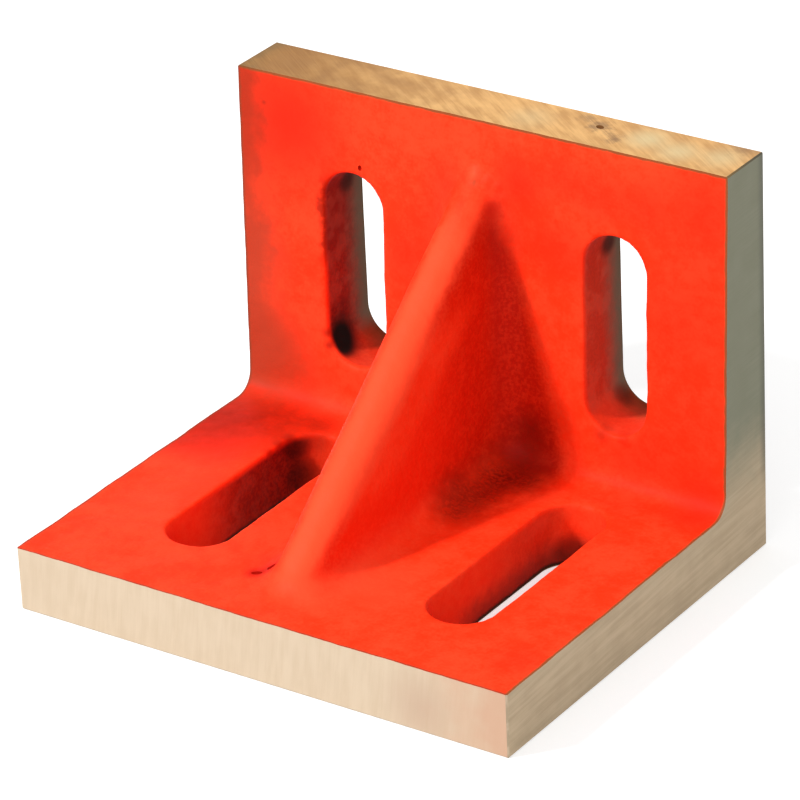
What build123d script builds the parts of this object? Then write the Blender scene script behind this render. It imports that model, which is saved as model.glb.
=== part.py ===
from build123d import *
import os
from math import radians, tan

# Angle plate: one iron casting with two slotted legs at a right angle and a sloping web between them.
# X runs along the legs, Y from the front edge of the base to the outer face of the wall, Z up.
# The origin is the centre of the bottom face. All sizes are in millimetres.

# Whole casting
length = 152.4
depth = 127.0
height = 114.3

# Legs, cast a little thicker where they meet than at their free edges
base_edge_thickness = 18.2
base_root_thickness = 18.4
wall_edge_thickness = 18.0
wall_root_thickness = 21.0
root_fillet = 6.0

# Slots: two full-round slots through each leg, a pair that the casting left a little off its middle
slot_width = 19.0
slot_spacing = 82.3
slots_off_middle = 1.0
base_slot_to_front_edge = 23.7
base_slot_to_wall = 12.9
wall_slot_to_base = 14.5
wall_slot_to_top_edge = 24.2
slot_lip_radius = 0.6

# Web: full-round ridge, and flanks that draw in towards the top
web_foot_thickness = 14.3
web_top_thickness = 13.4
web_ridge_radius = 6.6
web_top_below_edge = 14.2
web_toe_to_front_edge = 12.6
web_toe_height = 6.6
web_toe_slope = 58.0
web_toe_radius = 8.0
web_fillet = 9.0

# Machined edges are broken, and every cut runs past the faces that it opens
edge_break = 0.4
overrun = 5.0

# Faces and corners that the sizes above give
front = -depth / 2
back = depth / 2
wall_face_at_root = back - wall_root_thickness
wall_face_at_top = back - wall_edge_thickness
slot_middles = [slots_off_middle - slot_spacing / 2, slots_off_middle + slot_spacing / 2]


def side_prism(outline):
    """A prism as long as the casting, with this outline of (Y, Z) points."""
    return extrude(make_face(Plane.YZ * Polyline(*outline, close=True)), length / 2, both=True)


def legs():
    """Base and wall, with the fillet that runs along their inner corner."""
    body = side_prism(
        [
            (front, 0),
            (back, 0),
            (back, height),
            (wall_face_at_top, height),
            (wall_face_at_root, base_root_thickness),
            (front, base_edge_thickness),
        ]
    )
    corner = Vertex(0, wall_face_at_root, base_root_thickness)
    return fillet(body.edges().sort_by_distance(corner)[0], root_fillet)


def web_side():
    """The web seen from the end: a toe, the sloping ridge, and a foot and back sunk into the legs."""
    toe = front + web_toe_to_front_edge
    knee = (toe + web_toe_height / tan(radians(web_toe_slope)), base_edge_thickness + web_toe_height)
    top = (wall_face_at_top, height - web_top_below_edge)
    ridge_slope = (top[1] - knee[1]) / (top[0] - knee[0])
    sunk_floor = base_edge_thickness / 2
    sunk_back = wall_face_at_top + wall_edge_thickness / 2
    sunk_toe = toe - (base_edge_thickness - sunk_floor) / tan(radians(web_toe_slope))
    outline = Polyline(
        (sunk_toe, sunk_floor),
        knee,
        (sunk_back, top[1] + ridge_slope * (sunk_back - top[0])),
        (sunk_back, sunk_floor),
        close=True,
    )
    face = make_face(Plane.YZ * outline)
    knee_corner = face.vertices().sort_by_distance((0, *knee))[0]
    return extrude(fillet(knee_corner, web_toe_radius), length / 2, both=True)


def web_front():
    """The web seen from the front: wider at the base than at the top edge of the casting."""
    draw = (web_foot_thickness - web_top_thickness) / (height - web_top_below_edge)
    foot = web_foot_thickness / 2
    tip = (web_foot_thickness - draw * height) / 2
    outline = Polyline((-foot, 0), (foot, 0), (tip, height), (-tip, height), close=True)
    return extrude(make_face(Plane.XZ * outline), depth / 2, both=True)


def web():
    """The web by itself, with its toe and ridge rounded over."""
    blank = web_side() & web_front()
    rounded = []
    for flank in blank.faces().sort_by(SortBy.AREA)[-2:]:
        outline = flank.edges().sort_by(Axis.Y)[:-1]
        rounded += outline.sort_by(Axis.Z)[1:]
    return fillet(rounded, web_ridge_radius)


def slot_cutters():
    """The four slots as solids that run past both faces of their leg."""
    base_slot_start = front + base_slot_to_front_edge
    base_slot_end = wall_face_at_root - base_slot_to_wall
    wall_slot_start = base_root_thickness + wall_slot_to_base
    wall_slot_end = height - wall_slot_to_top_edge
    base_outline = SlotOverall(base_slot_end - base_slot_start, slot_width, rotation=90)
    wall_outline = SlotOverall(wall_slot_end - wall_slot_start, slot_width, rotation=90)
    base_middle = (base_slot_start + base_slot_end) / 2
    wall_middle = (wall_slot_start + wall_slot_end) / 2
    cutters = []
    for x in slot_middles:
        base_plane = Plane(origin=(x, base_middle, -overrun), z_dir=(0, 0, 1))
        wall_plane = Plane(origin=(x, back + overrun, wall_middle), x_dir=(1, 0, 0), z_dir=(0, -1, 0))
        cutters.append(extrude(base_plane * base_outline, base_root_thickness + 2 * overrun))
        cutters.append(extrude(wall_plane * wall_outline, wall_root_thickness + 2 * overrun))
    return cutters


def lies_in_outer_face(edge):
    """Whether an edge bounds one of the six outer faces, all of which are machined."""
    box = edge.bounding_box()
    near = edge_break / 4
    spans = [
        (box.min.X, box.max.X, -length / 2, length / 2),
        (box.min.Y, box.max.Y, front, back),
        (box.min.Z, box.max.Z, 0, height),
    ]
    for low, high, first, last in spans:
        if high - low < near and min(abs(low - first), abs(low - last)) < near:
            return True
    return False


def angle_plate():
    """The finished casting: legs and web blended together, slotted, and its machined edges broken."""
    plain_legs = legs()
    plain_web = web()
    joined = plain_legs + plain_web
    cast = fillet(new_edges(plain_legs, plain_web, combined=joined), web_fillet)

    cutters = slot_cutters()
    slotted = cast - cutters
    mouths = new_edges(cast, *cutters, combined=slotted)
    soft = fillet([mouth for mouth in mouths if not lies_in_outer_face(mouth)], slot_lip_radius)
    return chamfer([edge for edge in soft.edges() if lies_in_outer_face(edge)], edge_break)


plate = angle_plate()
os.makedirs("parts", exist_ok=True)
export_step(plate, "parts/angle_plate.step")
print("angle_plate", round(plate.volume), "mm3", plate.bounding_box())
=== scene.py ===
import math

import bpy
from mathutils import Matrix, Vector


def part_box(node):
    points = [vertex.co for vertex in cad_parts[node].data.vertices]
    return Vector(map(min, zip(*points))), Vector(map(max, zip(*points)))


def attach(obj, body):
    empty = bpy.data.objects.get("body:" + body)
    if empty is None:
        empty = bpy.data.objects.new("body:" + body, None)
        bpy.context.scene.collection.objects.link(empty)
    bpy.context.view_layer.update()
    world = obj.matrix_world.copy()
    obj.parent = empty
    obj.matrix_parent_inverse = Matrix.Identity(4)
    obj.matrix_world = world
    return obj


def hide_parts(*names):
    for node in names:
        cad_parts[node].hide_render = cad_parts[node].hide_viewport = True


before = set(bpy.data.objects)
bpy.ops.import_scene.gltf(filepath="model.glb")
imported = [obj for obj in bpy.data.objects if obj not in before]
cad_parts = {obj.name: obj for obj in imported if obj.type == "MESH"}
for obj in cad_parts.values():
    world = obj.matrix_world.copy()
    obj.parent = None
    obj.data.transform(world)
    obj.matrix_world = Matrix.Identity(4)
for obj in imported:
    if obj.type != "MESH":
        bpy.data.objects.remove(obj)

# A webbed angle plate: one iron casting, painted red where it is as cast and milled bare outside.
# X runs along the legs, Y from the front edge of the base to the outer face of the wall, Z up.
# The origin is the centre of the bottom face. Lengths are in metres.

MM = 0.001
NODE = "angle_plate"
LOW, HIGH = (Vector(corner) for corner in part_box(NODE))
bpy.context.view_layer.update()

# Casting, as the foundry leaves it before the outer faces are milled
STOCK = 4 * MM
SKIN_GRID = 0.8 * MM
SKIN_SMOOTHING = 4
NEAR = 0.6 * MM
MERGE_DISTANCE = 0.001 * MM
CUT_THRESHOLD = 0.001 * MM
SMOOTH_BELOW = math.radians(40)

# Skin relief: name, size of its bumps, height from valley to crest
SKIN_WAVES = [("mould_swell", 11 * MM, 0.45 * MM), ("sand_grain", 2.2 * MM, 0.14 * MM)]

# Leg faces under the paint
BASE_ROOT_TOP = 18.4 * MM
WALL_TOP_THICKNESS = 18 * MM
WALL_ROOT_THICKNESS = 21 * MM
WALL_FACE_AT_TOP = HIGH.y - WALL_TOP_THICKNESS
WALL_FACE_AT_ROOT = HIGH.y - WALL_ROOT_THICKNESS
WALL_LEAN = (WALL_FACE_AT_TOP - WALL_FACE_AT_ROOT) / (HIGH.z - BASE_ROOT_TOP)

# Slots: middles along X, and where they start and end in each leg
SLOT_MIDDLES = (-40.15 * MM, 42.15 * MM)
SLOT_RADIUS = 9.5 * MM
BASE_SLOT_ENDS = (-39.8 * MM, 29.6 * MM)
WALL_SLOT_ENDS = (32.9 * MM, 90.1 * MM)
SLOT_SIDES = 64

# Every milled edge is broken by this much
EDGE_BREAK = 0.4 * MM

# Soft inner corner: how far from the middle it reaches along X, and how often it is smoothed there
CORNER_SMOOTHING = ((64 * MM, 8), (54 * MM, 8), (44 * MM, 10), (32 * MM, 12))
CORNER_REACH = 13 * MM
CORNER_MARGIN = 2 * MM

# Corners between the outer faces that get a break, by the side of each axis that they lie on
BROKEN_CORNERS = (
    (-1, 0, -1), (1, 0, -1), (0, -1, -1), (0, 1, -1), (-1, -1, 0), (1, -1, 0),
    (-1, 1, 0), (1, 1, 0), (0, 1, 1), (-1, 0, 1), (1, 0, 1),
)

# Pores: place, half sizes and turn about Z in degrees
PORES = (
    (Vector((31.3, 56.7, 114.6)) * MM, Vector((1.6, 1.1, 0.55)) * MM, -30),
    (Vector((-13.1, -43.6, 18.5)) * MM, Vector((1.7, 0.8, 0.6)) * MM, 14),
    (Vector((-10.8, -40.6, 19.7)) * MM, Vector((1.5, 1.1, 1.0)) * MM, 62),
    (Vector((-37.2, 44.8, 92.5)) * MM, Vector((0.6, 0.5, 0.8)) * MM, 0),
)

# Finishes of the casting, in the order of its material slots. The finish of the pores comes after them.
FINISHES = ["cast_paint", "front_face", "top_face", "end_face", "back_face", "bottom_face", "broken_edge"]


# Mesh tools

def work_on(piece):
    """Make one object the only one that is selected, and the active one."""
    bpy.ops.object.select_all(action="DESELECT")
    piece.select_set(True)
    bpy.context.view_layer.objects.active = piece


def select_points(piece, test):
    """Go into edit mode with just the points selected whose place passes the test."""
    work_on(piece)
    bpy.ops.object.mode_set(mode="EDIT")
    bpy.ops.mesh.select_mode(type="VERT")
    bpy.ops.mesh.select_all(action="DESELECT")
    bpy.ops.object.mode_set(mode="OBJECT")
    for point in piece.data.vertices:
        point.select = test(point.co)
    bpy.ops.object.mode_set(mode="EDIT")


def shift_points(piece, test, step):
    """Move the points whose place passes the test."""
    select_points(piece, test)
    bpy.ops.transform.translate(value=step)
    bpy.ops.object.mode_set(mode="OBJECT")


def smooth_points(piece, test, repeats):
    """Smooth the points whose place passes the test."""
    select_points(piece, test)
    bpy.ops.mesh.vertices_smooth(factor=0.5, repeat=repeats)
    bpy.ops.object.mode_set(mode="OBJECT")


def mesh_copy(source, name):
    """A separate object with its own merged copy of a mesh."""
    piece = source.copy()
    piece.data = source.data.copy()
    piece.name = name
    piece.data.name = name
    for key in list(piece.keys()):
        del piece[key]
    bpy.context.scene.collection.objects.link(piece)
    work_on(piece)
    bpy.ops.object.mode_set(mode="EDIT")
    bpy.ops.mesh.select_all(action="SELECT")
    bpy.ops.mesh.remove_doubles(threshold=MERGE_DISTANCE)
    bpy.ops.mesh.mark_sharp(clear=True)
    bpy.ops.object.mode_set(mode="OBJECT")
    bpy.ops.mesh.customdata_custom_splitnormals_clear()
    return piece


def settle(piece):
    """Put an object's place, turn and size into its mesh, with its faces outwards."""
    work_on(piece)
    bpy.ops.object.transform_apply(location=True, rotation=True, scale=True)
    bpy.ops.object.mode_set(mode="EDIT")
    bpy.ops.mesh.select_all(action="SELECT")
    bpy.ops.mesh.normals_make_consistent(inside=False)
    bpy.ops.object.mode_set(mode="OBJECT")


# The casting, as it comes from the mould

def add_stock(blank):
    """Move each outer face of the blank outwards, as the metal that the mill takes off again."""
    for axis in range(3):
        for limit, side in ((LOW[axis], -1), (HIGH[axis], 1)):
            step = Vector((0, 0, 0))
            step[axis] = side * STOCK
            shift_points(blank, lambda place: abs(place[axis] - limit) < NEAR, step)
    # The wall leans back, and goes on doing so through the stock on its top edge
    inner_top = WALL_FACE_AT_TOP + 2 * NEAR
    lean_back = Vector((0, WALL_LEAN * STOCK, 0))
    shift_points(blank, lambda place: place.z > HIGH.z + NEAR and place.y < inner_top, lean_back)


def cast_skin(blank):
    """Give the blank an even mesh with the soft corners, swells and grain of a sand casting."""
    work_on(blank)
    blank.data.remesh_voxel_size = SKIN_GRID
    blank.data.use_remesh_preserve_attributes = False
    bpy.ops.object.voxel_remesh()
    smooth_points(blank, lambda place: True, SKIN_SMOOTHING)
    for reach, repeats in CORNER_SMOOTHING:
        smooth_points(blank, lambda place: near_corner(place, reach), repeats)
    for name, size, height in SKIN_WAVES:
        texture = bpy.data.textures.new(name, "CLOUDS")
        texture.noise_scale = size
        texture.noise_depth = 1
        wave = blank.modifiers.new(name, "DISPLACE")
        wave.texture = texture
        wave.texture_coords = "LOCAL"
        wave.strength = height
        wave.mid_level = 0.5
        work_on(blank)
        bpy.ops.object.modifier_apply(modifier=name)


def near_corner(place, reach):
    """Whether a place lies in the soft inner corner between the legs, this far along X."""
    inside = abs(place.x) < reach and place.y < WALL_FACE_AT_ROOT + CORNER_MARGIN
    off_corner = math.hypot(place.y - WALL_FACE_AT_ROOT, place.z - BASE_ROOT_TOP)
    return inside and place.z > BASE_ROOT_TOP - CORNER_MARGIN and off_corner < CORNER_REACH


# Milling

def mill(blank, place, direction, finish):
    """Cut the blank flat at a plane and give the fresh face a finish."""
    work_on(blank)
    bpy.ops.object.mode_set(mode="EDIT")
    bpy.ops.mesh.select_all(action="SELECT")
    bpy.ops.mesh.bisect(
        plane_co=place, plane_no=direction, use_fill=True, clear_outer=True, threshold=CUT_THRESHOLD
    )
    blank.active_material_index = FINISHES.index(finish)
    bpy.ops.object.material_slot_assign()
    bpy.ops.object.mode_set(mode="OBJECT")


def mill_faces(blank):
    """The six outer faces, and then the narrow breaks along the corners between them."""
    mill(blank, LOW, (0, 0, -1), "bottom_face")
    mill(blank, HIGH, (0, 0, 1), "top_face")
    mill(blank, LOW, (0, -1, 0), "front_face")
    mill(blank, HIGH, (0, 1, 0), "back_face")
    mill(blank, LOW, (-1, 0, 0), "end_face")
    mill(blank, HIGH, (1, 0, 0), "end_face")
    for sides in BROKEN_CORNERS:
        corner = Vector((HIGH[i] if sides[i] > 0 else LOW[i]) for i in range(3))
        direction = Vector(sides)
        mill(blank, corner - direction * EDGE_BREAK / 2, direction, "broken_edge")


def flatten_milled_faces(casting):
    """Give the milled faces flat shading, which a smoothed skin beside them would bend."""
    pore_slot = len(FINISHES)
    left_smooth = (FINISHES.index("cast_paint"), pore_slot)
    work_on(casting)
    bpy.ops.object.mode_set(mode="EDIT")
    bpy.ops.mesh.select_mode(type="FACE")
    bpy.ops.mesh.select_all(action="DESELECT")
    bpy.ops.object.mode_set(mode="OBJECT")
    for face in casting.data.polygons:
        face.select = face.material_index not in left_smooth
    bpy.ops.object.mode_set(mode="EDIT")
    bpy.ops.mesh.faces_shade_flat()
    bpy.ops.object.mode_set(mode="OBJECT")


# Hand tools: each is a solid that is taken away from the casting

def take_away(blank, tool):
    """Cut a tool's shape out of the casting, and leave the tool's finish on the cut."""
    cut = blank.modifiers.new(tool.name, "BOOLEAN")
    cut.operation = "DIFFERENCE"
    cut.solver = "MANIFOLD"
    cut.material_mode = "TRANSFER"
    cut.object = tool
    work_on(blank)
    bpy.ops.object.modifier_apply(modifier=cut.name)
    bpy.data.objects.remove(tool)


def slot_file(name, middle, ends, turn):
    """A slot-shaped cone that takes the sharp rim off a slot's milled mouth, pointing into the leg.

    It is made round the origin with its mouth in the XY plane, then turned and moved to its place.
    """
    run = 2 * EDGE_BREAK
    bpy.ops.object.select_all(action="DESELECT")
    bpy.ops.mesh.primitive_cone_add(
        vertices=SLOT_SIDES, radius1=SLOT_RADIUS + EDGE_BREAK + run, radius2=SLOT_RADIUS + EDGE_BREAK - run,
        depth=2 * run
    )
    tool = bpy.context.object
    tool.name = name
    half = (ends[1] - ends[0]) / 2 - SLOT_RADIUS
    shift_points(tool, lambda place: place.y > NEAR, Vector((0, half, 0)))
    shift_points(tool, lambda place: place.y < -NEAR, Vector((0, -half, 0)))
    tool.rotation_euler = turn
    tool.location = middle
    settle(tool)
    tool.data.materials.append(MATERIALS["broken_edge"])
    return tool


def break_slot_mouths(blank):
    """Break the rims of the slots in the bottom of the base and the back of the wall."""
    for side, x in zip(("left", "right"), SLOT_MIDDLES):
        base_middle = Vector((x, sum(BASE_SLOT_ENDS) / 2, LOW.z))
        wall_middle = Vector((x, HIGH.y, sum(WALL_SLOT_ENDS) / 2))
        take_away(blank, slot_file("base_file_" + side, base_middle, BASE_SLOT_ENDS, (0, 0, 0)))
        upright = (math.radians(90), 0, 0)
        take_away(blank, slot_file("wall_file_" + side, wall_middle, WALL_SLOT_ENDS, upright))


def pore_tool(name, place, radii, turn):
    """A small ellipsoid that opens a pore at a place."""
    bpy.ops.object.select_all(action="DESELECT")
    bpy.ops.mesh.primitive_ico_sphere_add(
        subdivisions=3, radius=1, location=place, rotation=(0, 0, turn), scale=radii
    )
    tool = bpy.context.object
    tool.name = name
    settle(tool)
    tool.data.materials.append(MATERIALS["pore"])
    return tool


def open_pores(blank):
    """Open the pores that the photograph shows: one in the milled top, the others in the paint."""
    for number, (place, radii, turn) in enumerate(PORES, 1):
        take_away(blank, pore_tool(f"pore_tool_{number}", place, radii, math.radians(turn)))


def make_casting():
    """The whole angle plate, from the mould to the finished piece that stands for the CAD node."""
    casting = mesh_copy(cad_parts[NODE], "casting")
    casting.data.materials.clear()
    for name in FINISHES:
        casting.data.materials.append(MATERIALS[name])
    add_stock(casting)
    cast_skin(casting)
    mill_faces(casting)
    break_slot_mouths(casting)
    open_pores(casting)
    work_on(casting)
    bpy.ops.object.shade_smooth_by_angle(angle=SMOOTH_BELOW)
    flatten_milled_faces(casting)
    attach(casting, "root")
    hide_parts(NODE)


# Shader arithmetic

class Wire:
    """A value on its way from one shader node to the next. Arithmetic on it adds Math nodes."""

    def __init__(self, shading, socket):
        self.shading = shading
        self.socket = socket

    def __add__(self, other):
        return self.shading.math("ADD", self, other)

    def __mul__(self, other):
        return self.shading.math("MULTIPLY", self, other)

    def __sub__(self, other):
        return self.shading.math("SUBTRACT", self, other)

    def __rsub__(self, other):
        return self.shading.math("SUBTRACT", other, self)

    __radd__ = __add__
    __rmul__ = __mul__


class Shading:
    """The nodes of a material or of the sky while they are being wired."""

    def __init__(self, tree):
        self.tree = tree

    def node(self, kind, settings=None, sockets=None, output=0):
        """Add a node, settings first and then the values or wires of its sockets, and give one output."""
        node = self.tree.nodes.new(kind)
        for name, value in (settings or {}).items():
            setattr(node, name, value)
        for name, value in (sockets or {}).items():
            self.connect(value, node.inputs[name])
        return Wire(self, node.outputs[output])

    def connect(self, value, socket):
        """Give a socket a wire, or a value that is the same everywhere."""
        if isinstance(value, Wire):
            self.tree.links.new(value.socket, socket)
        else:
            socket.default_value = value

    def math(self, operation, *values):
        return self.node("ShaderNodeMath", {"operation": operation}, dict(enumerate(values)))

    def larger(self, first, second):
        return self.math("MAXIMUM", first, second)

    def smaller(self, first, second):
        return self.math("MINIMUM", first, second)

    def size_of(self, value):
        return self.math("ABSOLUTE", value)

    def fade(self, value, start, end):
        """0 on the start side, 1 from end on, and smooth between them."""
        sockets = {"Value": value, "From Min": start, "From Max": end}
        return self.node("ShaderNodeMapRange", {"interpolation_type": "SMOOTHSTEP"}, sockets)

    def blend(self, share, first, second):
        """A colour between two."""
        return self.node("ShaderNodeMix", {"data_type": "RGBA"}, {0: share, 6: first, 7: second}, 2)

    def seen_directly(self):
        """1 for rays from the camera, straight or by a reflection or through glass, and 0 for the others."""
        camera, reflection, glass = (
            self.node("ShaderNodeLightPath", output=name)
            for name in ("Is Camera Ray", "Is Glossy Ray", "Is Transmission Ray")
        )
        return self.larger(camera, self.larger(reflection, glass))


class Finish(Shading):
    """A material on Object coordinates while it is being made."""

    def __init__(self, name, shine=0.5):
        self.material = bpy.data.materials.new(name)
        self.material.use_nodes = True
        super().__init__(self.material.node_tree)
        self.shader = self.tree.nodes["Principled BSDF"]
        self.set("Specular IOR Level", shine)
        self.place = self.node("ShaderNodeTexCoord", output="Object")
        self.facing = self.node("ShaderNodeTexCoord", output="Normal")
        self.x, self.y, self.z = (self.axis(self.place, name) for name in "XYZ")

    def set(self, name, value):
        """Set one of the shader's own sockets."""
        self.connect(value, self.shader.inputs[name])

    def axis(self, vector, name):
        return self.node("ShaderNodeSeparateXYZ", sockets={0: vector}, output=name)

    def along(self, direction, vector=None):
        """How far a point, or another vector, lies along a direction."""
        sockets = {0: vector or self.place, 1: direction}
        return self.node("ShaderNodeVectorMath", {"operation": "DOT_PRODUCT"}, sockets, "Value")

    def away_from(self, place):
        """How far a point is from a place."""
        sockets = {0: self.place, 1: place}
        return self.node("ShaderNodeVectorMath", {"operation": "DISTANCE"}, sockets, "Value")

    def spot(self, place, reach, core=0.0):
        """1 at a place and over the core, a share of the reach, and from there down to 0 at the reach."""
        return self.fade(self.away_from(place), reach, core * reach)

    def dab(self, colour, places, shade, strength=1.0, core=0.0):
        """Dab a shade on at each place: the place itself, its reach and the share of the shade there."""
        for place, reach, share in places:
            colour = self.blend(self.spot(place, reach, core) * (strength * share), colour, shade)
        return colour

    def noise(self, size, detail=2.0, vector=None, shift=0.0):
        """Soft noise round a half, with patches of about this size."""
        sockets = {"Scale": 1 / size, "Detail": detail}
        sockets["Vector"] = self.node(
            "ShaderNodeVectorMath", {"operation": "ADD"}, {0: vector or self.place, 1: (shift, shift, shift)}
        )
        return self.node("ShaderNodeTexNoise", sockets=sockets)

    def streaks(self, direction, length, across, width, detail=2.0):
        """Noise drawn out along a direction, as a cutter leaves it."""
        drawn = self.node(
            "ShaderNodeCombineXYZ", sockets={0: self.along(direction / length), 1: self.along(across / width)}
        )
        return self.noise(1.0, detail, drawn)

    def done(self, colour, roughness, metallic, height):
        """Wire the shader up, with the height in metres as its bump, and give the material."""
        self.set("Base Color", colour)
        self.set("Roughness", roughness)
        self.set("Metallic", metallic)
        self.set("Normal", self.node("ShaderNodeBump", sockets={"Height": height, "Distance": 1.0}))
        return self.material


# Tones, as linear red, green and blue

def tone(red, green, blue):
    return (red, green, blue, 1.0)


# Paint on the open faces. Two tones are the ends of a range that a pattern runs through.
FRESH_PAINT = (tone(0.93, 0.033, 0.0054), tone(0.95, 0.053, 0.014))
DEEP_RED_AND_SHADE = tone(0.91, 0.018, 0.0042)
PALE_LIT_RED = tone(0.96, 0.072, 0.025)
CRACK_RED = tone(0.50, 0.004, 0.0005)
SPECK_RED = tone(0.269, 0.015, 0.0062)
LIP_RED = tone(0.30, 0.010, 0.003)
LUMP_SHADOW_BROWN = tone(0.30, 0.050, 0.016)
RIM_BROWN = tone(0.15, 0.078, 0.024)
FAINT_RIM_BROWN = tone(0.22, 0.045, 0.018)

# Painted light and shade on the web: highlight on the ridge, shade on the flank, its shadow, and shade with
# some dirt behind it
RIDGE_HIGHLIGHT_RED = tone(0.97, 0.073, 0.023)
FLANK_SHADE_REDS = (tone(0.84, 0.017, 0.002), tone(0.57, 0.010, 0.0008))
SHADE_RED = tone(0.45, 0.0065, 0.0006)
SHADE_AND_DIRT = tone(0.175, 0.0031, 0.0008)

# Thin, dull paint on the left, from the top edge to the foot
DULL_EDGE_REDS = (tone(0.38, 0.028, 0.009), tone(0.43, 0.048, 0.020))
THIN_RED = tone(0.34, 0.011, 0.0022)
DULL_RED = tone(0.42, 0.038, 0.013)
GRIME_RED = tone(0.27, 0.010, 0.003)

# Inside the slots: thin paint darkened further as painted shade, bare iron at the mouths, grime and
# near-black feet
LEFT_SLOT_REDS = (tone(0.29, 0.011, 0.0046), tone(0.37, 0.035, 0.02))
RIGHT_SLOT_REDS = (tone(0.43, 0.034, 0.014), tone(0.52, 0.066, 0.033))
SLOT_REAR_SHADE = tone(0.085, 0.0010, 0.0015)
SLOT_IRON = tone(0.165, 0.13, 0.085)
SLOT_STAIN = tone(0.22, 0.032, 0.008)
SLOT_GRIME = tone(0.075, 0.027, 0.021)
SLOT_FOOT_BLACK = tone(0.015, 0.015, 0.011)
SLOT_SHADE_BLACK = tone(0.010, 0.003, 0.002)

# Bare iron. Each milled face runs from its light tone to its dark one.
FRONT_IRON = (tone(0.608, 0.481, 0.347), tone(0.562, 0.435, 0.304))
FRONT_PINK = tone(0.546, 0.315, 0.205)
FRONT_DULL = tone(0.477, 0.323, 0.225)
TOP_IRON = (tone(0.74, 0.42, 0.15), tone(0.520, 0.262, 0.075))
TOP_TARNISH = tone(0.27, 0.11, 0.014)
TOP_END_BROWN = tone(0.11, 0.075, 0.02)
TOP_PALE_IRON = tone(0.66, 0.55, 0.30)
TOP_STAIN_BROWN = tone(0.2, 0.1, 0.039)
END_IRON = (tone(0.539, 0.408, 0.260), tone(0.431, 0.316, 0.190))
END_GREYS = (tone(0.169, 0.170, 0.105), tone(0.231, 0.226, 0.150))
END_DARK = tone(0.07, 0.07, 0.05)
PLAIN_IRON = (tone(0.508, 0.424, 0.316), tone(0.385, 0.308, 0.223))
FILED_IRON = (tone(0.42, 0.32, 0.21), tone(0.56, 0.43, 0.30))
FILED_BROWN = tone(0.24, 0.15, 0.05)
FILED_DARK = tone(0.10, 0.085, 0.05)
PORE_BROWNS = (tone(0.077, 0.027, 0.0092), tone(0.185, 0.077, 0.023))
PORE_REDS = (tone(0.28, 0.003, 0.0005), tone(0.42, 0.006, 0.001))

# Stage
WHITE = tone(1.0, 1.0, 1.0)
BLACK = tone(0.0, 0.0, 0.0)
FLOOR_GREY = tone(0.6, 0.6, 0.6)
FLOOR_GLOW = tone(0.55, 0.55, 0.55)


# Places of the marks that the photograph shows, all on the finished casting

def marks(*rows):
    """Marks from rows of millimetres: three for the place, one for the reach, and then the share."""
    return [(Vector(row[:3]) * MM, row[3] * MM, row[4]) for row in rows]


# In the paint
# Darker patches, partly deeper paint and partly painted shade, over the wall and the base
DEEP_PAINT_AND_SHADE = marks(
    (-61, 45, 101, 30, 0.95),
    (-66, 30, 18, 30, 0.75),
    (-67, 12, 18, 22, 0.8),
    (-12, -37, 19.5, 10, 0.6),
    (-14, 44, 82, 12, 0.35),
    (-23, 44, 70, 15, 0.45),
    (-9, 43, 94, 12, 0.5),
    (20, 44, 84, 16, 0.4),
    (29, 44, 81, 15, 0.4),
    (13, 45, 99, 13, 0.8),
    (26, 45, 103, 12, 0.5),
    (38, 45, 100, 13, 0.5),
    (51, 45, 100, 13, 0.5),
    (50, 43, 26, 22, 0.5),
    (62, 45, 70, 34, 0.5),
    (68, 44, 38, 26, 0.4),
    (70, 45, 102, 24, 0.6),
    (70, 40, 20, 16, 0.9),
    (70, -47, 18, 12, 0.35),
)
# Pale patches, mostly painted light: on the base beside the web and at its toe, and a highlight on the lump
# at the top of the web
PALE_PAINT_AND_LIGHT = marks(
    (16, -30, 18, 20, 0.55),
    (2, -48, 22, 10, 0.5),
    (9, -48, 19, 12, 0.5),
    (11, -36, 20, 11, 0.5),
    (-60, -6, 18, 18, 0.3),
    (-61, -25, 18, 16, 0.3),
    (23, -40, 18, 15, 0.3),
    (-50, 42, 22, 9, 0.4),
    (0.2, 43.6, 99.3, 3.4, 0.9),
)
# Painted shade, with some dirt, in the corner behind the web
CORNER_SHADE_AND_DIRT = marks(
    (13, 10, 19, 12, 0.8),
    (14, 20, 19, 12, 0.85),
    (14, 30, 19, 13, 0.95),
    (16, 40, 21, 13, 0.75),
    (9, 16, 22, 8, 0.5),
    (20, 33, 18, 10, 0.75),
    (16, 43, 29, 9, 0.75),
    (26, 43, 34, 9, 0.2),
    (9, 40, 84, 14, 0.3),
)
THIN_PAINT = marks(
    (-78, 24, 18, 25, 1.0),
    (-60, 30, 18, 22, 0.95),
    (-76, 4, 18, 12, 0.5),
    (-70, 14, 18, 15, 0.35),
    (-62, 5, 18, 12, 0.3),
    (-46, 33, 18, 10, 0.8),
    (-51, 22, 18, 8, 0.5),
)
DULL_PAINT = marks(
    (-74, 43, 32, 24, 1.0),
    (-64, 43, 30, 16, 0.7),
    (-74, 44, 60, 12, 0.4),
)
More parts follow.
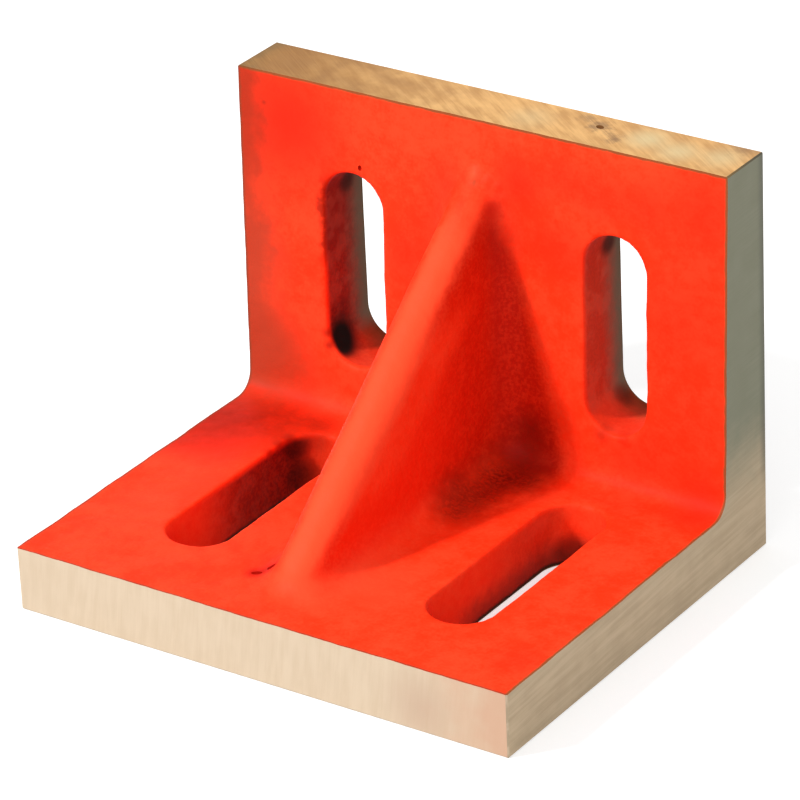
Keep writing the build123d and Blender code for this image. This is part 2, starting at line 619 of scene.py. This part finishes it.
# Spots of near-black painted shade deep in the slots
SLOT_SHADES = marks(
    (-48.9, 48.6, 38.0, 8.5, 1.0),
    (-49.7, 49.0, 43.0, 9.0, 0.35),
    (-47.6, 47.0, 36.0, 5.0, 1.0),
    (-44.0, 52.0, 89.0, 5.0, 0.8),
    (-49.5, 55.5, 82.0, 5.0, 0.75),
    (33.0, 57.0, 81.5, 5.0, 0.75),
    (36.0, 59.0, 37.0, 5.0, 0.5),
    (-48.5, 24.0, 15.0, 6.0, 0.6),
    (-48.0, 25.0, 6.0, 7.0, 0.6),
    (37.0, 28.2, 4.0, 7.0, 0.5),
)
DARK_LIPS = marks(
    (-50.0, 43.6, 41.0, 2.4, 0.7),
    (-49.2, 43.4, 37.5, 2.4, 0.8),
    (-50.2, 14.0, 18.0, 2.6, 0.5),
    (-50.2, 18.5, 18.0, 2.8, 0.6),
    (-50.0, 23.0, 18.0, 3.0, 0.7),
    (38.0, 43.6, 32.2, 4.0, 0.6),
    (45.0, 43.6, 32.2, 3.0, 0.4),
)
# Painted shade at the top of the web's flank, where it meets the wall
SHADE_TIP = marks(
    (6.5, 41.9, 92.4, 3.2, 0.55),
    (6.7, 41.2, 90.8, 4.2, 0.6),
)
CRACK = marks(
    (-10.8, -40.4, 19.6, 4.2, 0.95),
    (-14.2, -43.8, 18.3, 4.2, 0.8),
    (-12.2, -43.3, 18.5, 4.2, 0.8),
)
PAINT_SPECKS = marks(
    (-37.2, 44.8, 92.5, 1.0, 0.6),
    (-62.9, 45.4, 109.6, 0.8, 0.4),
    (-68.0, 45.2, 105.1, 0.9, 0.5),
    (-30.4, 45.1, 102.6, 0.7, 0.4),
)
# Painted shadow under the lump at the top of the web
WEB_TOP_LUMP_SHADOW = marks(
    (0.9, 42.5, 97.9, 1.7, 0.6),
    (1.1, 41.9, 96.6, 1.9, 0.6),
)

# Low lumps in the paint: place, reach and rise in millimetres
LUMPS = [
    (place, reach, rise * MM)
    for place, reach, rise in marks(
        (0.1, 43.8, 99.3, 3.0, 0.7),
        (4.3, 44.0, 98.2, 2.2, 0.35),
        (7.0, 44.1, 96.7, 2.2, 0.35),
        (8.6, 43.9, 94.2, 2.2, 0.3),
    )
]

# On the milled top
TOP_PALE = marks(
    (68.9, 55.0, 114.3, 9.0, 0.5),
    (46.0, 56.0, 114.3, 9.0, 0.65),
    (57.0, 53.0, 114.3, 9.0, 0.6),
    (12.0, 53.0, 114.3, 10.0, 0.3),
)
TOP_STAINS = marks(
    (31.0, 56.9, 114.3, 4.6, 0.85),
    (35.4, 54.4, 114.3, 2.6, 0.6),
    (38.6, 51.8, 114.3, 3.6, 0.75),
    (25.5, 60.0, 114.3, 3.4, 0.5),
    (72.0, 63.0, 114.3, 7.0, 0.6),
)


# Paint, brushed over everything that is left as cast

# The way that the painted highlight on the ridge of the web faces, and the ridge's height over the middle and
# slope towards the wall
RIDGE_HIGHLIGHT_FACING = (0.45, -0.56, 0.70)
RIDGE_HEIGHT = 61.5 * MM
RIDGE_SLOPE = 0.811

# Edge of the painted shadow that the web throws on the wall: its X at the bottom, and how it draws in upwards
SHADE_EDGE = 32.5 * MM
SHADE_SLOPE = 0.26


def ragged(pattern, spread):
    """A length that a pattern moves to and fro, by up to half of the spread each way."""
    return (pattern - 0.5) * spread


def cast_paint():
    """The paint as a whole: its fresh tones, then the marks, wear and painted light and shade of each part,
    then its skin.
    """
    paint = Finish("cast_paint", shine=0.07)
    swell = paint.noise(13 * MM, 3.0)
    mottle = paint.noise(3.2 * MM, 3.0, shift=0.3)
    grain = paint.noise(0.9 * MM, 2.0, shift=0.7)
    cloud = swell * 0.4 + mottle * 0.33 + grain * 0.27
    colour = paint.blend(paint.fade(cloud, 0.38, 0.62), *FRESH_PAINT)
    # Darker patches of painted shade and deeper paint, then pale patches of painted light
    colour = paint.dab(colour, DEEP_PAINT_AND_SHADE, DEEP_RED_AND_SHADE)
    colour = paint.dab(colour, PALE_PAINT_AND_LIGHT, PALE_LIT_RED)
    colour = web_paint(paint, colour, mottle, grain)
    colour = corner_shade_and_dirt(paint, colour, mottle, grain)
    colour = thin_paint(paint, colour, swell, mottle)
    in_slot, colour = slot_paint(paint, colour, mottle, grain)

    # Rims: a brown line where the mill has broken the paint, fainter on the left and in front
    rim = paint.smaller(HIGH.z - paint.z, paint.smaller(HIGH.y - paint.y, HIGH.x - paint.x))
    rim = paint.smaller(rim, paint.z - LOW.z)
    bare = paint.fade(rim + ragged(mottle, 0.8 * MM), 1.1 * MM, 0.35 * MM)
    colour = paint.blend(bare * 0.85, colour, RIM_BROWN)
    faint_rim = paint.smaller(paint.x - LOW.x, paint.y - LOW.y) + ragged(mottle, 0.8 * MM)
    colour = paint.blend(paint.fade(faint_rim, 1.1 * MM, 0.2 * MM) * 0.75, colour, FAINT_RIM_BROWN)
    colour = paint.dab(colour, PAINT_SPECKS, SPECK_RED)
    colour = paint.dab(colour, DARK_LIPS, LIP_RED)
    colour = paint.dab(colour, CRACK, CRACK_RED)
    # Painted shadow under the lump at the top of the web
    colour = paint.dab(colour, WEB_TOP_LUMP_SHADOW, LUMP_SHADOW_BROWN)

    roughness = 0.5 + mottle * 0.12 + in_slot * 0.2
    height = 0.12 * MM * mottle + 0.04 * MM * grain + 0.012 * MM * paint.noise(0.35 * MM)
    for place, reach, rise in LUMPS:
        height = height + paint.spot(place, reach) * rise
    return paint.done(colour, roughness, 0.0, height)


def web_paint(paint, colour, mottle, grain):
    """A painted highlight along the ridge of the web, and painted shade on its right flank and in the shadow
    that it throws.
    """
    on_web = paint.fade(paint.size_of(paint.x), 10 * MM, 7.5 * MM) * paint.fade(paint.z, 19 * MM, 24 * MM)
    # Painted highlight: paler red where the ridge faces towards the light
    up_ridge = paint.along(RIDGE_HIGHLIGHT_FACING, paint.facing)
    wear_and_highlight = paint.fade(up_ridge, 0.45, 0.85) * paint.fade(paint.z, 96 * MM, 84 * MM)
    colour = paint.blend(on_web * wear_and_highlight * 0.9, colour, RIDGE_HIGHLIGHT_RED)

    # Painted shade on the flank, darker towards the wall, with a lighter strip under the ridge
    near_web = paint.fade(paint.size_of(paint.x), 18 * MM, 14 * MM)
    flank = paint.fade(paint.axis(paint.facing, "X"), 0.6, 0.97) * near_web
    under_ridge = RIDGE_HEIGHT + paint.y * RIDGE_SLOPE - paint.z + ragged(mottle, 10 * MM)
    strip = paint.fade(under_ridge, 24 * MM, 13 * MM) * paint.fade(paint.z, 29 * MM, 39 * MM)
    strip = strip * paint.fade(paint.z, 74 * MM, 62 * MM)
    uneven = 0.78 + paint.fade(grain * 0.7 + mottle * 0.3, 0.62, 0.4) * 0.22
    flank_shade_tone = paint.blend(paint.fade(paint.y, 0, 34 * MM), *FLANK_SHADE_REDS)
    colour = paint.blend(flank * uneven * (1.0 - strip * 0.75) * 0.95, colour, flank_shade_tone)

    # Painted shadow on the part of the wall that the web shades, out to a slanting line
    inside = SHADE_EDGE - paint.x - paint.z * SHADE_SLOPE + ragged(mottle, 4 * MM)
    shade = paint.fade(inside, -2.2 * MM, 3.5 * MM) * paint.fade(paint.x, 5.5 * MM, 8.5 * MM)
    shade = shade * paint.fade(paint.y, 33 * MM, 40 * MM) * paint.fade(paint.z, 100 * MM, 93 * MM)
    colour = paint.blend(shade * uneven * 0.95, colour, SHADE_RED)
    # Painted shade at the top of the flank
    return paint.dab(colour, SHADE_TIP, SHADE_RED)


def corner_shade_and_dirt(paint, colour, mottle, grain):
    """Painted shade, with some dirt, in the corner behind the web."""
    patchy = 0.55 + paint.fade(mottle * 0.4 + grain * 0.6, 0.38, 0.62) * 0.45
    blur = ragged(mottle, 7 * MM) + ragged(grain, 3 * MM)
    for place, reach, share in CORNER_SHADE_AND_DIRT:
        patch = paint.fade(paint.away_from(place) + blur, reach + 0.5 * MM, 0.5 * MM)
        colour = paint.blend(patch * patchy * share, colour, SHADE_AND_DIRT)
    return colour


def thin_paint(paint, colour, swell, mottle):
    """Thin, dull paint along the left edge of the wall and on the lower left of both legs."""
    blur = ragged(mottle, 9 * MM) + ragged(swell, 16 * MM)
    strip = paint.fade(paint.x + blur, -59 * MM, -75 * MM) * paint.fade(paint.y, 40 * MM, 42 * MM)
    dull = paint.blend(paint.fade(paint.z, 100 * MM, 55 * MM), *DULL_EDGE_REDS)
    colour = paint.blend(strip * 0.92, colour, dull)
    wear_and_highlight = 0.8 + (mottle - 0.5) * 0.7
    colour = paint.dab(colour, THIN_PAINT, THIN_RED, wear_and_highlight, core=0.1)
    colour = paint.dab(colour, DULL_PAINT, DULL_RED, wear_and_highlight, core=0.1)

    # Grime that spreads from the left edge of the left wall slot
    edge = paint.fade(-49.6 * MM - paint.x + ragged(mottle, 7 * MM), 2.4 * MM, 0)
    edge = edge * paint.spot((-50.4 * MM, 44.2 * MM, 75 * MM), 17 * MM, 0.4)
    return paint.blend(edge * 0.75, colour, GRIME_RED)


def slot_paint(paint, colour, mottle, grain):
    """The inside of the slots: thin paint, darkened further as painted shade. Gives the share that it covers,
    and the colour.
    """
    wall_face = WALL_FACE_AT_ROOT + WALL_LEAN * (paint.z - BASE_ROOT_TOP)
    depth = paint.larger(BASE_ROOT_TOP - paint.z, paint.y - wall_face)
    in_slot = paint.fade(depth, 0.5 * MM, 2.4 * MM)
    base = paint.fade(paint.z, 24 * MM, 20 * MM)
    wall = 1.0 - base
    right = paint.fade(paint.x, -5 * MM, 5 * MM)
    facing_front = paint.fade(paint.axis(paint.facing, "Y"), -0.35, -0.95)
    facing_up = paint.fade(paint.axis(paint.facing, "Z"), 0.25, 0.8)

    # Painted shade, lighter where light falls: the base slots at the front and on faces turned to the front,
    # the wall slots at their lower ends
    stain = paint.fade(paint.noise(5 * MM, 3.0, shift=1.9), 0.42, 0.62)
    dark = paint.blend(stain, *LEFT_SLOT_REDS)
    dark = paint.blend(right, dark, paint.blend(stain, *RIGHT_SLOT_REDS))
    rear = paint.fade(paint.y, -14 * MM, 22 * MM) * base
    dark = paint.blend(rear * (0.8 - right * 0.5), dark, SLOT_REAR_SHADE)
    base_share = paint.fade(paint.y - 14 * MM * right, -24 * MM, 2 * MM) * (0.92 - right * 0.5)
    base_share = base_share * (1.0 - facing_front * (0.8 + right * 0.2))
    wall_share = (0.98 - right * 0.25) * (1.0 - facing_up * 0.6)
    uneven = 0.84 + paint.fade(grain, 0.6, 0.4) * 0.16
    colour = paint.blend(in_slot * uneven * (base * base_share + wall * wall_share), colour, dark)

    # Bare iron shows at the mouths in the back of the wall, and the feet of the base slots go near-black
    mouth = paint.fade(paint.y + 4 * MM * mottle, 54 * MM, 65 * MM) * wall
    iron = paint.blend(facing_up, SLOT_IRON, SLOT_STAIN)
    colour = paint.blend(mouth, colour, iron)
    behind_front = paint.fade(paint.y, -26 * MM, -10 * MM) * base * in_slot
    grime = paint.fade(paint.z + ragged(mottle, 4 * MM), 11 * MM, 1 * MM) * behind_front
    colour = paint.blend(grime * right * 0.62, colour, SLOT_GRIME)
    foot = paint.fade(paint.z + MM * mottle, 2.6 * MM, 1.3 * MM) * base * in_slot
    colour = paint.blend(foot, colour, SLOT_FOOT_BLACK)
    # Near-black painted shade in spots deep in the slots
    return in_slot, paint.dab(colour, SLOT_SHADES, SLOT_SHADE_BLACK, in_slot, core=0.3)


# Bare iron: faces that the mill has cut, each with its own tint and cutter marks

# The way that each face looks outwards
MILLED_FACES = {
    "front_face": (0, -1, 0),
    "top_face": (0, 0, 1),
    "end_face": (1, 0, 0),
    "back_face": (0, 1, 0),
    "bottom_face": (0, 0, -1),
}


def milled_face(name, tones, feed, length, width, lay=None):
    """Bare milled iron in a light and a dark tone. Feed is the way that the cutter went, in the face.

    Length and width are those of its marks. Lay adds what this face alone has.
    """
    iron = Finish(name, shine=0.4)
    light, dark = tones
    direction = Vector(feed).normalized()
    across = Vector(MILLED_FACES[name]).cross(direction)
    broad = iron.streaks(direction, length, across, width, 3.0)
    fine = iron.streaks(direction, length, across, width / 5, 2.0)
    cloud = iron.noise(7 * MM, 3.0, shift=0.4)
    wear_and_highlight = iron.fade(broad * 0.5 + fine * 0.2 + cloud * 0.3, 0.36, 0.64)
    colour = iron.blend(wear_and_highlight, dark, light)
    if lay:
        colour = lay(iron, colour, cloud, fine)
    roughness = 0.42 + cloud * 0.2
    height = 0.02 * MM * fine + 0.02 * MM * broad + 0.03 * MM * cloud
    return iron.done(colour, roughness, 0.25, height)


def front_lay(iron, colour, cloud, fine):
    """A little pinker towards the right end, with a duller patch before it."""
    pink = iron.fade(iron.x + 30 * MM * cloud, 60 * MM, 92 * MM)
    colour = iron.blend(pink * 0.8, colour, FRONT_PINK)
    dull = iron.spot((50 * MM, LOW.y, 7 * MM), 15 * MM)
    return iron.blend(dull * 0.65, colour, FRONT_DULL)


def top_lay(iron, colour, cloud, fine):
    """Tarnished towards the left end, with brown stains round the pore and pale patches on the right."""
    left = iron.fade(iron.x + 40 * MM * cloud, 22 * MM, -52 * MM) * (0.55 + fine * 0.6)
    colour = iron.blend(left, colour, TOP_TARNISH)
    end = iron.fade(iron.x + 8 * MM * cloud, -64 * MM, -74 * MM)
    colour = iron.blend(end * 0.6, colour, TOP_END_BROWN)
    colour = iron.dab(colour, TOP_PALE, TOP_PALE_IRON, 0.6 + fine * 0.8)
    blur = ragged(fine, 3 * MM) + ragged(iron.noise(2 * MM, 3.0), 5 * MM)
    for place, reach, share in TOP_STAINS:
        stain = iron.fade(iron.away_from(place) + blur, reach, 0)
        colour = iron.blend(stain * share, colour, TOP_STAIN_BROWN)
    return colour


def end_lay(iron, colour, cloud, fine):
    """Tan on the base, and greyer and greener up the wall."""
    up = iron.fade(iron.z + 16 * MM * cloud, 22 * MM, 54 * MM)
    grey = iron.blend(fine, *END_GREYS)
    colour = iron.blend(up, colour, grey)
    rear = iron.fade(iron.y, 59.5 * MM, 63 * MM) * iron.fade(iron.z, 14 * MM, 30 * MM)
    return iron.blend(rear * 0.6, colour, END_DARK)


def broken_edge():
    """Edges broken with a file: bright in front, brown on top, dark at the back and the left end."""
    iron = Finish("broken_edge", shine=0.4)
    cloud = iron.noise(3 * MM, 3.0)
    colour = iron.blend(iron.fade(cloud, 0.4, 0.6), *FILED_IRON)
    colour = iron.blend(iron.fade(iron.z, 100 * MM, 112 * MM), colour, FILED_BROWN)
    dark = iron.larger(iron.fade(iron.y, 40 * MM, 61 * MM), iron.fade(iron.x, -68 * MM, -75 * MM))
    colour = iron.blend(dark * iron.fade(iron.z, 16 * MM, 24 * MM), colour, FILED_DARK)
    return iron.done(colour, 0.45 + cloud * 0.2, 0.3, 0.05 * MM * cloud)


def pore():
    """The dark inside of a pore, brown in the milled top and dark red under the paint."""
    iron = Finish("pore", shine=0.04)
    cloud = iron.noise(1.2 * MM, 3.0)
    brown = iron.blend(cloud, *PORE_BROWNS)
    red = iron.blend(cloud, *PORE_REDS)
    colour = iron.blend(iron.fade(iron.z, 111 * MM, 113 * MM), red, brown)
    return iron.done(colour, 0.7 + cloud * 0.2, 0.0, 0.15 * MM * cloud)


MATERIALS = {
    "cast_paint": cast_paint(),
    "front_face": milled_face("front_face", FRONT_IRON, (0.12, 0, 1), 16 * MM, 2.2 * MM, front_lay),
    "top_face": milled_face("top_face", TOP_IRON, (1, -0.75, 0), 12 * MM, 2.0 * MM, top_lay),
    "end_face": milled_face("end_face", END_IRON, (0, 1, 0.04), 26 * MM, 1.6 * MM, end_lay),
    "back_face": milled_face("back_face", PLAIN_IRON, (1, 0, 0.1), 30 * MM, 2.2 * MM),
    "bottom_face": milled_face("bottom_face", PLAIN_IRON, (1, 0.1, 0), 30 * MM, 2.2 * MM),
    "broken_edge": broken_edge(),
    "pore": pore(),
}


# Stage, lights and camera

# Camera: the point that it looks at, how far off it is, its angles in degrees and its focal length in mm
AIM = Vector((0.1, 5.3, 50.0)) * MM
DISTANCE = 1272.8 * MM
AZIMUTH, ELEVATION, ROLL = (math.radians(angle) for angle in (35.079, 26.957, -2.667))
LENS = 219.69
CLIP = (0.05, 20)

# Lamps: name, direction from the casting, distance, width and power in watts
LAMPS = (
    ("key", Vector((-0.75, -1, 1.25)), 1.6, 0.16, 20.5),
    ("fill", Vector((0.45, -1, 0.6)), 1.8, 1.2, 6.6),
)

# Sky and floor: the share of its white that the sky gives as light, and the floor's size and drop
SKY_LIGHT = 0.7
FLOOR_SIZE = 12
FLOOR_GAP = 0.05 * MM


def direction_from(azimuth, elevation):
    """Unit vector towards a point at this azimuth and elevation, with 0 in front of the casting."""
    flat = math.cos(elevation)
    return Vector((math.sin(azimuth) * flat, -math.cos(azimuth) * flat, math.sin(elevation)))


def make_camera():
    """The camera as the photograph's straight edges give it: place, turn and focal length."""
    back = direction_from(AZIMUTH, ELEVATION)
    right = Vector((math.cos(AZIMUTH), math.sin(AZIMUTH), 0))
    up = back.cross(right)
    tilted_right = math.cos(ROLL) * right + math.sin(ROLL) * up
    tilted_up = math.cos(ROLL) * up - math.sin(ROLL) * right
    camera = bpy.data.objects.new("camera", bpy.data.cameras.new("camera"))
    bpy.context.scene.collection.objects.link(camera)
    turn = Matrix((tilted_right, tilted_up, back)).transposed()
    camera.matrix_world = Matrix.Translation(AIM + back * DISTANCE) @ turn.to_4x4()
    camera.data.lens = LENS
    camera.data.clip_start, camera.data.clip_end = CLIP
    bpy.context.scene.camera = camera


def make_lamp(name, towards, distance, size, power):
    """A round lamp in this direction from the casting, turned towards it."""
    lamp = bpy.data.objects.new(name, bpy.data.lights.new(name, "AREA"))
    bpy.context.scene.collection.objects.link(lamp)
    lamp.data.shape = "DISK"
    lamp.data.size = size
    lamp.data.energy = power
    lamp.location = towards.normalized() * distance
    lamp.rotation_euler = towards.to_track_quat("Z", "Y").to_euler()


def make_world():
    """A white sky that gives less light than it shows."""
    world = bpy.data.worlds.new("studio")
    bpy.context.scene.world = world
    world.use_nodes = True
    sky = Shading(world.node_tree)
    background = sky.tree.nodes["Background"]
    sky.connect(WHITE, background.inputs["Color"])
    sky.connect(SKY_LIGHT + sky.seen_directly() * (1 - SKY_LIGHT), background.inputs["Strength"])


def make_floor():
    """A pale floor that glows to white where it is seen, and keeps the shadow."""
    bpy.ops.object.select_all(action="DESELECT")
    bpy.ops.mesh.primitive_plane_add(size=FLOOR_SIZE, location=(0, 0, -FLOOR_GAP))
    floor = bpy.context.object
    floor.name = "floor"
    pale = Finish("floor")
    pale.set("Base Color", FLOOR_GREY)
    pale.set("Roughness", 0.9)
    pale.set("Emission Color", pale.blend(pale.seen_directly(), BLACK, FLOOR_GLOW))
    pale.set("Emission Strength", 1.0)
    floor.data.materials.append(pale.material)


bpy.context.scene.view_settings.view_transform = "Standard"
make_casting()
make_camera()
make_world()
make_floor()
for lamp in LAMPS:
    make_lamp(*lamp)
